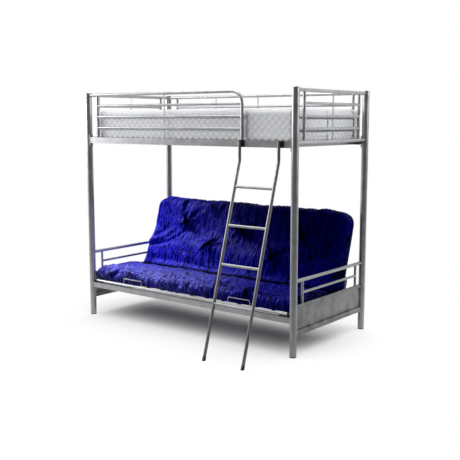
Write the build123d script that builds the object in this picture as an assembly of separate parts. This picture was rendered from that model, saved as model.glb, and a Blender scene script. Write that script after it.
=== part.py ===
from build123d import *
import os
from math import cos, radians, sin, tan

os.makedirs("parts", exist_ok=True)

# A metal bunk bed with a futon below, which slides forward and folds flat from a sofa into a double bed.
# +X runs along the bed to the ladder's end, the front faces -Y, and the floor is at zero height.

# Overall sizes of the bed, over its posts
bed_length = 2000
bed_depth = 980
bed_height = 1780

# Fits: running is radial, seat is between fixed parts, slide between sliding ones, soft round cushions
running_fit = 0.05
seat_gap = 0.1
slide_gap = 0.3
soft_gap = 0.3
overrun = 5

# Posts, feet and caps
post_radius = 25
post_wall = 1.5
spigot_length = 120
spigot_wall = 2
foot_height = 163
foot_tip_radius = 23
foot_spigot_length = 60
glide_height = 6
cap_radius = 26.5
cap_height = 5
cap_stem_length = 15
cap_edge = 1.5

# Round sections of the rails
rail_radius = 12.5
rail_wall = 1.5
guard_tube_radius = 12
upright_radius = 11
bar_radius = 9.5
flat_bar_width = 8
flat_bar_thickness = 5

# Guards of the upper bunk
guard_top_drop = 18
guard_pitch = 84
guard_bar_count = 3
end_upright_inset = 103
front_guard_ladder_gap = 5
front_guard_bend = 88
guard_upright_inset = 105
front_guard_flat_x = -165
rear_guard_bays = 4

# Side beams, open channels with a rolled saddle for the post at each end
beam_setback = 10
beam_depth = 25
beam_wall = 2
upper_beam_drop = 391
post_seam_drop = 281
upper_beam_height = 46
lower_beam_low = 229
lower_beam_height = 40
saddle_wall = 3
saddle_half_width = 19
saddle_ear = 22
bolt_radius = 4
bolt_head_radius = 6.5
bolt_head_height = 5
bolt_length = 22

# Slats and mattress of the upper bunk
slat_count = 12
slat_width = 40
slat_height = 20
slat_wall = 1.2
slat_end_gap = 0.5
slat_end_margin = 90
mattress_end_clearance = 50
mattress_side_clearance = 45
mattress_thickness = 206
mattress_round = 28
mattress_outline_shares = ((-1, 0), (1, 0), (1, 0.97), (0.55, 1.14), (-0.55, 1.14), (-1, 0.97))
mattress_station_shares = ((-1, 0.93), (-0.975, 0.985), (-0.5, 1), (0.5, 1), (0.975, 0.985), (1, 0.93))

# Lower ends: a sheet panel under an arm rail
panel_top_z = 338
panel_sheet = 1.5
lip_low = 141
lip_height = 37
arm_top_z = 511
arm_bar_z = 425
arm_upright_inset = 105

# Seat frame and back frame, hinged on two pins in line with the seat tube's middle
frame_tube_radius = 11
beam_glide_height = 3.2
beam_glide_reach = 56
beam_glide_cheek = 15
beam_glide_side = 17
seat_front_setback = 30
seat_hinge_share = 0.75
seat_leg_end = 35
seat_cross_depth = 80
seat_bracket_reach = 100
back_lean = 73
back_frame_length = 520
back_leg_start = 30
back_cross_start = 45
back_crank_start = 125
back_crank_end = 190
back_crank_inset = 45
back_bracket_reach = 110
strip_count = 12
strip_width = 30
strip_thickness = 3
strip_margin = 40

# Hinge stack at each end, from the guide plate inwards
guide_wall = 4
runner_depth = 14
runner_wall = 2
runner_clearance = 0.2
runner_margin = 6
roller_radius = 9
roller_width = 9
roller_side_gap = 1
roller_chamfer = 1
hinge_wall = 3
plate_gap = 0.5
bracket_clearance = 10.5
pin_radius = 5
pin_head_radius = 8
pin_head_height = 4
axle_radius = 4
axle_over = 0.5

# Travel, and the stud that turns the back as the seat slides
seat_travel = 285
stud_arm = 75
stud_angle = -100
stud_radius = 6
stud_over = 4
tenon_radius = 4
stud_bracket_half_width = 10
slot_clearance = 0.25
slot_steps = 12
guide_margin = 22
guide_corner_round = 14
guide_top_z = 341
guide_bolt_z = 152
guide_bolts_before_hinge = (343, 60)
guide_bolt_radius = 3
guide_bolt_head_radius = 5.5
guide_bolt_head_height = 3.5
guide_nut_height = 5

# Futon mattress in two halves
futon_end_gap = 1.5
futon_seat_front_setback = 35
futon_hinge_gap = 12
futon_seat_thickness = 97
futon_seat_round = 12
futon_seat_outline_shares = (
    (0.01, 0), (1, 0), (1, 0.52), (0.715, 0.52), (0.6, 0.72), (0.35, 0.94), (0.09, 1), (0, 0.5),
)
futon_back_length = 620
futon_back_thickness = 207
futon_back_round = 20
futon_back_outline_shares = (
    (-0.03, 1), (0.14, 0.87), (0.32, 0.87), (0.55, 0.64), (0.88, 0.7),
    (0.962, 0.59), (1, 0.37), (0.94, 0.09), (0.81, 0), (0.05, 0),
)
futon_station_shares = ((-1, 0.86), (-0.97, 0.96), (-0.85, 1), (0.85, 1), (0.97, 0.96), (1, 0.86))
tuft_sides = 12
tuft_radius = 75
tuft_throat_radius = 28
tuft_button_radius = 9
tuft_dish = 14
tuft_depth = 42
tuft_spots_share = ((-0.59, 0.7), (-0.275, 0.4), (0.025, 0.67), (0.4, 0.33), (0.66, 0.67))

# Wire loops on the seat's front tube
loop_wire_radius = 3
loop_wire_sides = 8
loop_spacing = 1040
loop_width = 205
loop_taper = 10
loop_height = 44
loop_bend = 10
loop_forward = 5

# Ladder
ladder_post_gap = 104
ladder_width = 319
ladder_tube_radius = 11
ladder_stand_off = 20
ladder_bend_drop = 89
ladder_bend = 90
ladder_slant = 16.5
ladder_tip_radius = 12
ladder_tip_length = 28
ladder_cap_height = 3
rung_count = 4
first_rung_z = 365
top_rung_drop = 173.9
socket_half_width = 20
socket_depth = 14
socket_back_wall = 3
lug_length = 30
lug_web = 4
lug_flange_width = 16
lug_flange = 2.5

# Places worked out from the sizes above
post_x = bed_length / 2 - post_radius
post_y = bed_depth / 2 - post_radius
post_bore = post_radius - post_wall
saddle_radius = post_radius + seat_gap
guard_top_z = bed_height - guard_top_drop
end_bottom_z = guard_top_z - (guard_bar_count + 1) * guard_pitch
guard_bar_zs = [guard_top_z - step * guard_pitch for step in range(1, guard_bar_count + 1)]
beam_face_y = bed_depth / 2 - beam_setback
upper_beam_low = bed_height - upper_beam_drop
post_seam_height = upper_beam_low - post_seam_drop
upper_beam_top = upper_beam_low + upper_beam_height
lower_beam_top = lower_beam_low + lower_beam_height
slat_low = upper_beam_low + beam_wall
mattress_low = slat_low + slat_height + soft_gap
mattress_length = bed_length - 2 * mattress_end_clearance
mattress_width = bed_depth - 2 * mattress_side_clearance
guide_face_x = post_x - rail_radius
guide_in_x = guide_face_x - guide_wall
runner_in_x = guide_in_x - runner_depth
roller_out_x = guide_in_x - runner_wall - roller_side_gap
roller_in_x = roller_out_x - roller_width
back_plate_out_x = runner_in_x - bracket_clearance
back_plate_in_x = back_plate_out_x - hinge_wall
back_leg_x = back_plate_in_x - frame_tube_radius
seat_plate_out_x = back_plate_in_x - plate_gap
seat_plate_in_x = seat_plate_out_x - hinge_wall
seat_leg_x = seat_plate_in_x - frame_tube_radius
hinge_z = lower_beam_top + beam_glide_height + slide_gap + frame_tube_radius
seat_front_y = -bed_depth / 2 + seat_front_setback
seat_hinge_depth = seat_hinge_share * bed_depth
hinge_y = seat_front_y + seat_hinge_depth
guide_bolt_ys = [hinge_y - before for before in guide_bolts_before_hinge]
frame_top_z = hinge_z + frame_tube_radius
futon_half = runner_in_x - futon_end_gap
futon_low = frame_top_z + soft_gap
futon_front_y = -bed_depth / 2 + futon_seat_front_setback
futon_seat_depth = seat_hinge_depth - futon_hinge_gap
ladder_right_x = post_x - ladder_post_gap
ladder_left_x = ladder_right_x - ladder_width
front_guard_end_x = ladder_left_x - front_guard_ladder_gap
ladder_top_z = upper_beam_top
ladder_bend_z = upper_beam_low - ladder_bend_drop
rung_pitch = (ladder_bend_z - first_rung_z - top_rung_drop) / (rung_count - 1)
ladder_y = -beam_face_y - ladder_stand_off
ladder_foot_y = ladder_y - ladder_bend_z * tan(radians(ladder_slant))
ladder_front_y = ladder_foot_y - ladder_tip_radius / cos(radians(ladder_slant))
bed_rear_y = post_y + cap_radius
origin_shift = -(ladder_front_y + bed_rear_y) / 2

corners = {
    "front_left": (-1, -1),
    "front_right": (1, -1),
    "rear_left": (-1, 1),
    "rear_right": (1, 1),
}


def keep(name, *solids):
    """Writes one node, moved so that the origin lies under the middle of the bed with its ladder."""
    placed = [Pos(0, origin_shift, 0) * solid for solid in solids]
    node = placed[0] if len(placed) == 1 else Compound(children=placed)
    export_step(node, f"parts/{name}.step")


def rod(start, end, radius, bore=0):
    """A round bar, or with a bore a tube, from one point to another."""
    line = Vector(*end) - Vector(*start)
    face = Circle(radius) - Circle(bore) if bore else Circle(radius)
    return extrude(Plane(origin=start, z_dir=line) * face, line.length)


def bent_bar(points, bend, face):
    """A bar along straight runs joined by bends."""
    path = FilletPolyline(*points, radius=bend)
    return sweep(Plane(origin=path @ 0, z_dir=path % 0) * face, path=path)


def mitred_frame(points, radius):
    """Round tube along straight runs, with mitred corners that are welded."""
    path = Polyline(*points)
    face = Plane(origin=path @ 0, z_dir=path % 0) * Circle(radius)
    return sweep(face, path=path, transition=Transition.RIGHT)


def flat_bar(x, y, low, high, along_x):
    """An upright flat bar, wider along the guard that it stiffens."""
    width, thickness = flat_bar_width, flat_bar_thickness
    face = Rectangle(width, thickness) if along_x else Rectangle(thickness, width)
    return extrude(Pos(x, y, low) * face, high - low)


def joined(shapes):
    """One solid from pieces that are welded together."""
    return shapes[0] + shapes[1:]


def flipped(shape):
    """The same piece for the other end of the bed."""
    return mirror(shape, about=Plane.YZ)


def post_space(low, high):
    """The four posts as solid bars with their seat gap, to cope what meets them."""
    bars = [
        rod((side * post_x, row * post_y, low), (side * post_x, row * post_y, high), saddle_radius)
        for side, row in corners.values()
    ]
    return Compound(children=bars)


# Where each bolt of a beam enters its post
upper_bolt_zs = (upper_beam_low - saddle_ear / 2, upper_beam_top + saddle_ear / 2)
lower_bolt_zs = (lower_beam_low + lower_beam_height / 2,)


def bolt_holes(side, heights):
    """Holes in a post's inner wall, or in the saddle round it."""
    reach = -side * (saddle_radius + saddle_wall + overrun)
    return [rod((0, 0, z), (reach, 0, z), bolt_radius + seat_gap) for z in heights]


# Posts

def post(side, low, high, heights):
    return rod((0, 0, low), (0, 0, high), post_radius, post_bore) - bolt_holes(side, heights)


def foot():
    """A tapered foot with a step that carries the post and a spigot inside it."""
    spigot_radius = post_bore - seat_gap
    top = foot_height + foot_spigot_length
    outline = Polyline(
        (0, glide_height),
        (foot_tip_radius, glide_height),
        (post_radius, foot_height),
        (spigot_radius, foot_height),
        (spigot_radius, top),
        (0, top),
        close=True,
    )
    return revolve(Plane.XZ * make_face(outline), Axis.Z)


def post_cap():
    low = bed_height - cap_height
    disc = rod((0, 0, low), (0, 0, bed_height), cap_radius)
    stem = rod((0, 0, low - cap_stem_length), (0, 0, low), post_bore - seat_gap)
    return chamfer(disc.edges().group_by(Axis.Z)[-1], cap_edge) + stem


def joining_spigot():
    low = post_seam_height - spigot_length / 2
    outer = post_bore - seat_gap
    return rod((0, 0, low), (0, 0, low + spigot_length), outer, outer - spigot_wall)


feet, glides, caps, spigots = [], [], [], []
for corner, (side, row) in corners.items():
    spot = Pos(side * post_x, row * post_y, 0)
    upper_top = bed_height - cap_height
    keep(f"{corner}_lower_post", spot * post(side, foot_height, post_seam_height, lower_bolt_zs))
    keep(f"{corner}_upper_post", spot * post(side, post_seam_height, upper_top, upper_bolt_zs))
    feet.append(spot * foot())
    glides.append(spot * rod((0, 0, 0), (0, 0, glide_height), foot_tip_radius))
    caps.append(spot * post_cap())
    spigots.append(spot * joining_spigot())
keep("post_feet", *feet)
keep("floor_glides", *glides)
keep("post_caps", *caps)
keep("joining_spigots", *spigots)


# Guards of the upper bunk

def upper_end_panel():
    """The right end: two rails, two uprights, bars between them and a flat bar in the middle."""
    upright_y = post_y - end_upright_inset
    pieces = [
        rod((post_x, -post_y, z), (post_x, post_y, z), rail_radius)
        for z in (guard_top_z, end_bottom_z)
    ]
    pieces += [
        rod((post_x, y, end_bottom_z), (post_x, y, guard_top_z), upright_radius)
        for y in (-upright_y, upright_y)
    ]
    pieces += [
        rod((post_x, -upright_y, z), (post_x, upright_y, z), bar_radius)
        for z in guard_bar_zs
    ]
    pieces.append(flat_bar(post_x, 0, end_bottom_z, guard_top_z, False))
    return joined(pieces) - post_space(upper_beam_low, bed_height)


def guard_bars(start_x, end_x, y, flat_xs):
    """Bars between two uprights, with the flat bars that cross them."""
    bars = [rod((start_x, y, z), (end_x, y, z), bar_radius) for z in guard_bar_zs]
    return bars + [flat_bar(x, y, upper_beam_top, guard_top_z, True) for x in flat_xs]


def front_guard():
    """The top tube bends down at its free end, where the ladder's way in begins."""
    left_x = -post_x + guard_upright_inset
    tube = bent_bar(
        [
            (-post_x, -post_y, guard_top_z),
            (front_guard_end_x, -post_y, guard_top_z),
            (front_guard_end_x, -post_y, upper_beam_top),
        ],
        front_guard_bend,
        Circle(guard_tube_radius),
    )
    upright = rod((left_x, -post_y, upper_beam_top), (left_x, -post_y, guard_top_z), upright_radius)
    bars = guard_bars(left_x, front_guard_end_x, -post_y, [front_guard_flat_x])
    return joined([tube, upright] + bars) - post_space(upper_beam_low, bed_height)


def rear_guard():
    """The rear guard runs from post to post, with a flat bar between its bays."""
    end_x = post_x - guard_upright_inset
    bay = 2 * end_x / rear_guard_bays
    rail = rod((-post_x, post_y, guard_top_z), (post_x, post_y, guard_top_z), guard_tube_radius)
    uprights = [
        rod((x, post_y, upper_beam_top), (x, post_y, guard_top_z), upright_radius)
        for x in (-end_x, end_x)
    ]
    flat_xs = [-end_x + step * bay for step in range(1, rear_guard_bays)]
    bars = guard_bars(-end_x, end_x, post_y, flat_xs)
    return joined([rail] + uprights + bars) - post_space(upper_beam_low, bed_height)


right_end_panel = upper_end_panel()
keep("upper_right_end_panel", right_end_panel)
keep("upper_left_end_panel", flipped(right_end_panel))
keep("front_guard", front_guard())
keep("rear_guard", rear_guard())


# Side beams

def saddle(low, height, bolt_zs):
    """A plate rolled round the inner side of a post that stands at the origin, left of the beam."""
    reach = saddle_radius + 2 * saddle_wall
    ring = Circle(saddle_radius + saddle_wall) - Circle(saddle_radius)
    face = ring & (Pos(reach / 2, 0) * Rectangle(reach, 2 * saddle_half_width))
    return extrude(Pos(0, 0, low) * face, height) - bolt_holes(-1, bolt_zs)


def front_beam(low, height, ear, bolt_zs):
    """A channel open to the inside, coped round the posts, with a saddle welded to each end."""
    middle = low + height / 2
    outer = Pos(-beam_face_y + beam_depth / 2, middle) * Rectangle(beam_depth, height)
    hollow_y = -beam_face_y + beam_wall + beam_depth / 2
    hollow = Pos(hollow_y, middle) * Rectangle(beam_depth, height - 2 * beam_wall)
    body = extrude(Plane.YZ * (outer - hollow), post_x, both=True)
    body -= post_space(low - overrun, low + height + overrun)
    plate = Pos(-post_x, -post_y, 0) * saddle(low - ear, height + 2 * ear, bolt_zs)
    return body + [plate, flipped(plate)]


def beam_bolt(z):
    """A bolt through the saddle into the left front post."""
    head_x = saddle_radius + saddle_wall
    hexagon = Plane.YZ.offset(head_x) * (Pos(0, z) * RegularPolygon(bolt_head_radius, 6))
    head = extrude(hexagon, bolt_head_height)
    shank = rod((head_x - bolt_length, 0, z), (head_x, 0, z), bolt_radius)
    return Pos(-post_x, -post_y, 0) * (head + shank)


upper_front_beam = front_beam(upper_beam_low, upper_beam_height, saddle_ear, upper_bolt_zs)
lower_front_beam = front_beam(lower_beam_low, lower_beam_height, 0, lower_bolt_zs)
keep("upper_front_beam", upper_front_beam)
keep("upper_rear_beam", mirror(upper_front_beam, about=Plane.XZ))
keep("lower_front_beam", lower_front_beam)
keep("lower_rear_beam", mirror(lower_front_beam, about=Plane.XZ))

left_bolts = []
for bolt_z in upper_bolt_zs + lower_bolt_zs:
    bolt = beam_bolt(bolt_z)
    left_bolts += [bolt, mirror(bolt, about=Plane.XZ)]
keep("beam_bolts", *left_bolts, *[flipped(bolt) for bolt in left_bolts])


# Slats and mattress of the upper bunk

def upper_slat(x):
    """A rectangular tube lying in both side channels."""
    half = beam_face_y - beam_wall - slat_end_gap
    inner = Rectangle(slat_width - 2 * slat_wall, slat_height - 2 * slat_wall)
    face = Pos(x, slat_low + slat_height / 2) * (Rectangle(slat_width, slat_height) - inner)
    return extrude(Plane.XZ * face, half, both=True)


def padded_loft(outline, rounding, anchor, half_length, station_shares):
    """A cushion along X: one rounded outline in Y and Z, drawn in towards its anchor near both ends."""
    sections = []
    for place, size in station_shares:
        points = [
            (anchor[0] + (y - anchor[0]) * size, anchor[1] + (z - anchor[1]) * size)
            for y, z in outline
        ]
        face = make_face(FilletPolyline(*points, radius=rounding * size, close=True))
        sections.append(Plane.YZ.offset(half_length * place) * face)
    return loft(sections, ruled=True)


slat_reach = post_x - slat_end_margin
slat_pitch = 2 * slat_reach / (slat_count - 1)
keep("upper_slats", *[upper_slat(-slat_reach + step * slat_pitch) for step in range(slat_count)])

mattress_outline = [
    (y_share * mattress_width / 2, mattress_low + z_share * mattress_thickness)
    for y_share, z_share in mattress_outline_shares
]
keep(
    "upper_mattress",
    padded_loft(
        mattress_outline, mattress_round, (0, mattress_low), mattress_length / 2, mattress_station_shares
    ),
)


# Lower ends

def end_panel():
    """Right panel: a tube on top, a sheet below it and a box-shaped lip, in one outline."""
    tube_low = panel_top_z - rail_radius
    lip_top = lip_low + lip_height
    tube = Pos(post_x, panel_top_z) * (Circle(rail_radius) - Circle(rail_radius - rail_wall))
    web_low = lip_top - panel_sheet
    web_height = tube_low + rail_wall - web_low
    web = Pos(post_x, web_low + web_height / 2) * Rectangle(panel_sheet, web_height)
    lip_depth = 2 * rail_radius
    lip_hollow = Rectangle(lip_depth - 2 * panel_sheet, lip_height - 2 * panel_sheet)
    lip = Pos(post_x, lip_low + lip_height / 2) * (Rectangle(lip_depth, lip_height) - lip_hollow)
    body = extrude(Plane.XZ * (tube + web + lip), post_y, both=True)
    holes = [
        rod(
            (guide_face_x - overrun, y, guide_bolt_z),
            (guide_face_x + lip_depth + overrun, y, guide_bolt_z),
            guide_bolt_radius + seat_gap,
        )
        for y in guide_bolt_ys
    ]
    return body - post_space(lip_low - overrun, panel_top_z + rail_radius + overrun) - holes


def arm_rail():
    """Right arm: a rail from post to post, with a bar between two uprights on the panel's tube."""
    upright_y = post_y - arm_upright_inset
    rail = rod((post_x, -post_y, arm_top_z), (post_x, post_y, arm_top_z), rail_radius)
    bar = rod((post_x, -upright_y, arm_bar_z), (post_x, upright_y, arm_bar_z), bar_radius)
    uprights = [
        rod((post_x, y, panel_top_z), (post_x, y, arm_top_z), bar_radius + seat_gap)
        for y in (-upright_y, upright_y)
    ]
    tube_space = rod(
        (post_x, -post_y, panel_top_z), (post_x, post_y, panel_top_z), rail_radius + seat_gap
    )
    arm = joined([rail, bar] + uprights)
    return arm - post_space(panel_top_z, arm_top_z + 2 * rail_radius) - tube_space


right_panel = end_panel()
right_arm = arm_rail()
keep("right_end_panel", right_panel)
keep("left_end_panel", flipped(right_panel))
keep("right_arm_rail", right_arm)
keep("left_arm_rail", flipped(right_arm))


# Guides of the folding futon

def stud_place(share):
    """Middle of the guide stud, and the way it is going, from sofa at 0 to bed at 1."""
    turn = radians(back_lean)
    angle = turn * (1 - share) + radians(stud_angle)
    place = Vector(
        hinge_y - seat_travel * share + stud_arm * cos(angle),
        hinge_z + stud_arm * sin(angle),
    )
    way = Vector(-seat_travel + turn * stud_arm * sin(angle), -turn * stud_arm * cos(angle))
    return place, way.normalized()


def curved_slot():
    """The slot is the band that the stud sweeps as the back turns while the seat slides."""
    half = stud_radius + slot_clearance
    upper, lower = [], []
    for step in range(slot_steps + 1):
        place, way = stud_place(step / slot_steps)
        across = Vector(way.Y, -way.X) * half
        upper.append(place + across)
        lower.append(place - across)
    first, first_way = stud_place(0)
    last, last_way = stud_place(1)
    edges = [
        Spline(*upper),
        ThreePointArc(upper[-1], last + last_way * half, lower[-1]),
        Spline(*lower),
        ThreePointArc(lower[0], first - first_way * half, upper[0]),
    ]
    return make_face(edges)


def guide_plate():
    """Right plate: bolted to the panel's lip, leaning on its tube, cut through by the curved slot."""
    rear = stud_place(0)[0].X + stud_radius + guide_margin
    front = min(stud_place(1)[0].X - stud_radius, guide_bolt_ys[0]) - guide_margin
    low = lip_low + panel_sheet
    step_z = hinge_z + roller_radius + guide_margin
    shoulder_y = front + 2 * guide_margin
    outline = Polyline(
        (front, low), (rear, low), (rear, step_z), (rear - guide_margin, guide_top_z),
        (shoulder_y, guide_top_z), (front, step_z),
        close=True,
    )
    plate = make_face(outline)
    plate = fillet(plate.vertices(), guide_corner_round) - curved_slot()
    for y in guide_bolt_ys:
        plate -= Pos(y, guide_bolt_z) * Circle(guide_bolt_radius + seat_gap)
    return extrude(Plane.YZ.offset(guide_in_x) * plate, guide_wall)


def runner():
    """Right runner: a channel for the roller, welded to the guide plate."""
    track = roller_radius + runner_clearance
    middle_x = guide_in_x - runner_depth / 2
    outer = Pos(middle_x, hinge_z) * Rectangle(runner_depth, 2 * (track + runner_wall))
    hollow = Pos(middle_x - runner_wall, hinge_z) * Rectangle(runner_depth, 2 * track)
    rear = hinge_y + roller_radius + runner_margin
    length = seat_travel + 2 * (roller_radius + runner_margin)
    return extrude(Plane.XZ.offset(-rear) * (outer - hollow), length)


def guide_bolt(y):
    """A bolt from the outside through lip and plate."""
    outer_x = guide_face_x + 2 * rail_radius
    hexagon = Pos(y, guide_bolt_z) * RegularPolygon(guide_bolt_head_radius, 6)
    head = extrude(Plane.YZ.offset(outer_x) * hexagon, guide_bolt_head_height)
    inner_x = guide_in_x - guide_nut_height - seat_gap
    shank = rod((inner_x, y, guide_bolt_z), (outer_x, y, guide_bolt_z), guide_bolt_radius)
    return head + shank


def guide_nut(y):
    face = RegularPolygon(guide_bolt_head_radius, 6) - Circle(guide_bolt_radius + running_fit)
    place = Plane.YZ.offset(guide_in_x - guide_nut_height) * Pos(y, guide_bolt_z)
    return extrude(place * face, guide_nut_height)


right_guide = guide_plate()
right_runner = runner()
right_guide_bolts = [guide_bolt(y) for y in guide_bolt_ys]
right_guide_nuts = [guide_nut(y) for y in guide_bolt_ys]
keep("right_guide_plate", right_guide)
keep("left_guide_plate", flipped(right_guide))
keep("right_runner", right_runner)
keep("left_runner", flipped(right_runner))
keep("guide_bolts", *right_guide_bolts, *[flipped(bolt) for bolt in right_guide_bolts])
keep("guide_nuts", *right_guide_nuts, *[flipped(nut) for nut in right_guide_nuts])


def beam_glide():
    """Right front glide: a strip on the beam with a cheek that keeps the seat frame in line."""
    cheek_x = back_leg_x + frame_tube_radius + plate_gap
    start_x = seat_leg_x - beam_glide_reach
    end_x = cheek_x + beam_glide_cheek
    width = beam_depth - beam_wall
    middle_y = -beam_face_y + beam_depth / 2
    strip = Pos((start_x + end_x) / 2, middle_y, lower_beam_top + beam_glide_height / 2) * Box(
        end_x - start_x, width, beam_glide_height
    )
    cheek = Pos((cheek_x + end_x) / 2, middle_y, lower_beam_top + beam_glide_side / 2) * Box(
        end_x - cheek_x, width, beam_glide_side
    )
    return strip + cheek


right_glide = beam_glide()
front_glides = [right_glide, flipped(right_glide)]
keep("beam_glides", *front_glides, *[mirror(glide, about=Plane.XZ) for glide in front_glides])


# Seat frame

def frame_strip(x, length, way, low_tube, high_tube):
    """A flat strip between two cross tubes, flush with the top of the frame."""
    strip = Box(strip_width, length, strip_thickness)
    rise = frame_tube_radius - strip_thickness / 2
    return way * (Pos(x, length / 2, rise) * strip) - [low_tube, high_tube]


def strip_places(half_length):
    """Middle of each strip along the frame."""
    pitch = 2 * half_length / strip_count
    return [-half_length + (step + 0.5) * pitch for step in range(strip_count)]


seat_cross_y = hinge_y - seat_cross_depth
seat_front_tube = rod(
    (-seat_leg_x, seat_front_y, hinge_z), (seat_leg_x, seat_front_y, hinge_z), frame_tube_radius
)
seat_cross_tube = rod(
    (-seat_leg_x, seat_cross_y, hinge_z), (seat_leg_x, seat_cross_y, hinge_z), bar_radius
)
seat_frame = mitred_frame(
    [
        (-seat_leg_x, hinge_y - seat_leg_end, hinge_z),
        (-seat_leg_x, seat_front_y, hinge_z),
        (seat_leg_x, seat_front_y, hinge_z),
        (seat_leg_x, hinge_y - seat_leg_end, hinge_z),
    ],
    frame_tube_radius,
)
keep("seat_frame", seat_frame + seat_cross_tube)
seat_way = Pos(0, seat_front_y, hinge_z)
strip_half = seat_leg_x - strip_margin
keep(
    "seat_slats",
    *[
        frame_strip(x, seat_cross_y - seat_front_y, seat_way, seat_front_tube, seat_cross_tube)
        for x in strip_places(strip_half)
    ],
)


def seat_bracket():
    """Right bracket: a plate on the seat leg's side that reaches back to the hinge pin."""
    outline = SlotCenterToCenter(seat_bracket_reach, 2 * frame_tube_radius)
    face = Pos(hinge_y - seat_bracket_reach / 2, hinge_z) * outline
    face -= Pos(hinge_y, hinge_z) * Circle(pin_radius + running_fit)
    return extrude(Plane.YZ.offset(seat_plate_in_x) * face, hinge_wall)


def hinge_pin():
    """Right pin: a head inside the seat bracket, a collar past the back bracket, then the axle."""
    collar_x = back_plate_out_x + slide_gap
    collar_end_x = roller_in_x - slide_gap
    outline = Polyline(
        (seat_plate_in_x - pin_head_height, 0),
        (seat_plate_in_x - pin_head_height, pin_head_radius),
        (seat_plate_in_x, pin_head_radius),
        (seat_plate_in_x, pin_radius),
        (collar_x, pin_radius),
        (collar_x, pin_head_radius),
        (collar_end_x, pin_head_radius),
        (collar_end_x, axle_radius),
        (roller_out_x + axle_over, axle_radius),
        (roller_out_x + axle_over, 0),
        close=True,
    )
    return Pos(0, hinge_y, hinge_z) * revolve(make_face(outline), Axis.X)


def roller():
    """Right roller: a nylon wheel with chamfered edges."""
    bore = axle_radius + running_fit
    outline = Polyline(
        (roller_in_x, bore),
        (roller_in_x, roller_radius - roller_chamfer),
        (roller_in_x + roller_chamfer, roller_radius),
        (roller_out_x - roller_chamfer, roller_radius),
        (roller_out_x, roller_radius - roller_chamfer),
        (roller_out_x, bore),
        close=True,
    )
    return Pos(0, hinge_y, hinge_z) * revolve(make_face(outline), Axis.X)


def wire_loop(middle_x):
    """A bent wire that stands on the seat's front tube and holds the mattress edge."""
    y = seat_front_y - loop_forward
    half = loop_width / 2
    top_z = frame_top_z + loop_height - loop_wire_radius
    section = RegularPolygon(loop_wire_radius, loop_wire_sides)
    wire = bent_bar(
        [
            (middle_x - half, y, hinge_z),
            (middle_x - half + loop_taper, y, top_z),
            (middle_x + half - loop_taper, y, top_z),
            (middle_x + half, y, hinge_z),
        ],
        loop_bend,
        section,
    )
    return wire - seat_front_tube


right_seat_bracket = seat_bracket()
right_pin = hinge_pin()
right_roller = roller()
keep("right_seat_bracket", right_seat_bracket)
keep("left_seat_bracket", flipped(right_seat_bracket))
keep("hinge_pins", right_pin, flipped(right_pin))
keep("right_roller", right_roller)
keep("left_roller", flipped(right_roller))
keep("right_wire_loop", wire_loop(loop_spacing / 2))
keep("left_wire_loop", wire_loop(-loop_spacing / 2))

futon_seat_outline = [
    (futon_front_y + y_share * futon_seat_depth, futon_low + z_share * futon_seat_thickness)
    for y_share, z_share in futon_seat_outline_shares
]
futon_seat_anchor = (futon_front_y + futon_seat_depth / 2, futon_low)
keep(
    "seat_cushion",
    padded_loft(
        futon_seat_outline, futon_seat_round, futon_seat_anchor, futon_half, futon_station_shares
    ),
)


# Back frame, built where it leans in the sofa

lean = radians(back_lean)


def on_back(along, out=0):
    """Y and Z of a point that lies so far up the back frame and so far out in front of it."""
    return (
        hinge_y + along * cos(lean) - out * sin(lean),
        hinge_z + along * sin(lean) + out * cos(lean),
    )


back_top_x = back_leg_x - back_crank_inset
back_leg_points = [
    (back_leg_x, *on_back(back_leg_start)),
    (back_leg_x, *on_back(back_crank_start)),
    (back_top_x, *on_back(back_crank_end)),
    (back_top_x, *on_back(back_frame_length)),
]
top_tube = rod(
    (-back_top_x, *on_back(back_frame_length)),
    (back_top_x, *on_back(back_frame_length)),
    frame_tube_radius,
)
cross_tube = rod(
    (-back_leg_x, *on_back(back_cross_start)), (back_leg_x, *on_back(back_cross_start)), bar_radius
)
back_frame = mitred_frame(
    [(-x, y, z) for x, y, z in back_leg_points] + back_leg_points[::-1], frame_tube_radius
)
keep("back_frame", back_frame + cross_tube)
back_way = Pos(0, *on_back(back_cross_start)) * Rot(back_lean, 0, 0)
keep(
    "back_slats",
    *[
        frame_strip(x, back_frame_length - back_cross_start, back_way, cross_tube, top_tube)
        for x in strip_places(strip_half)
    ],
)


def back_bracket():
    """Right bracket: one arm up the back's leg and one out to the guide stud, round the hinge pin."""
    hinge = Pos(hinge_y, hinge_z)
    leg_slot = SlotCenterToCenter(back_bracket_reach, 2 * frame_tube_radius)
    leg_arm = Pos(back_bracket_reach / 2, 0) * leg_slot
    stud_bar = Pos(stud_arm / 2, 0) * SlotCenterToCenter(stud_arm, 2 * stud_bracket_half_width)
    face = hinge * (Rot(0, 0, back_lean) * leg_arm + Rot(0, 0, back_lean + stud_angle) * stud_bar)
    face -= hinge * Circle(pin_radius + running_fit)
    stud_y, stud_z = stud_place(0)[0].X, stud_place(0)[0].Y
    face -= Pos(stud_y, stud_z) * Circle(tenon_radius + running_fit)
    return extrude(Plane.YZ.offset(back_plate_in_x) * face, hinge_wall)


def guide_stud():
    """Right stud: riveted in the back bracket, it ends just past the guide plate."""
    stud_y, stud_z = stud_place(0)[0].X, stud_place(0)[0].Y
    shoulder = rod(
        (back_plate_out_x, stud_y, stud_z), (guide_face_x + stud_over, stud_y, stud_z), stud_radius
    )
    tenon = rod((back_plate_in_x, stud_y, stud_z), (back_plate_out_x, stud_y, stud_z), tenon_radius)
    return shoulder + tenon


right_back_bracket = back_bracket()
right_stud = guide_stud()
keep("right_back_bracket", right_back_bracket)
keep("left_back_bracket", flipped(right_back_bracket))
keep("guide_studs", right_stud, flipped(right_stud))


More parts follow.
